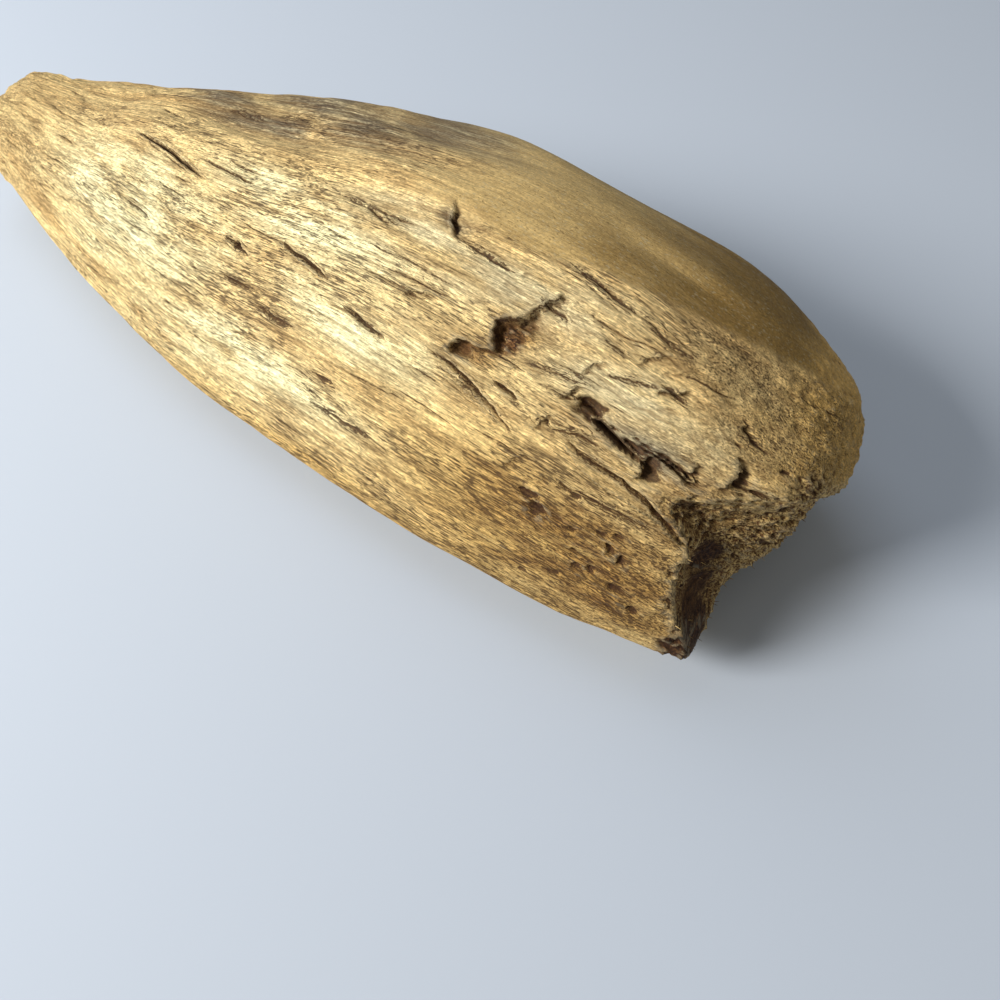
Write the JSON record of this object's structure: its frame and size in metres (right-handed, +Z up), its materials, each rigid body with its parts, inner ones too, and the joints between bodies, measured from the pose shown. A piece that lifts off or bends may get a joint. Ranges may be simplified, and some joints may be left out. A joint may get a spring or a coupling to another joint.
{
  "type": "driftwood piece",
  "caption": "Worn, split and broken-off piece of driftwood with deep grain cracks, lying on its side; a natural accent for shore, yard and shelf scenes.",
  "frame": {"origin": "under the middle of the piece's bounding box, on the surface that it rests on", "axes": "+X along the grain towards the thick broken end, the split face looks towards -Y and up, the rounded shoulder is at +Y, +Z up"},
  "size_m": [0.2994, 0.1014, 0.0689],
  "materials": {
    "weathered_wood": "bare weathered wood, matt, with open grain and darker cracks"
  },
  "bodies": {
    "root": {"driftwood": "weathered_wood"}
  },
  "joints": []
}
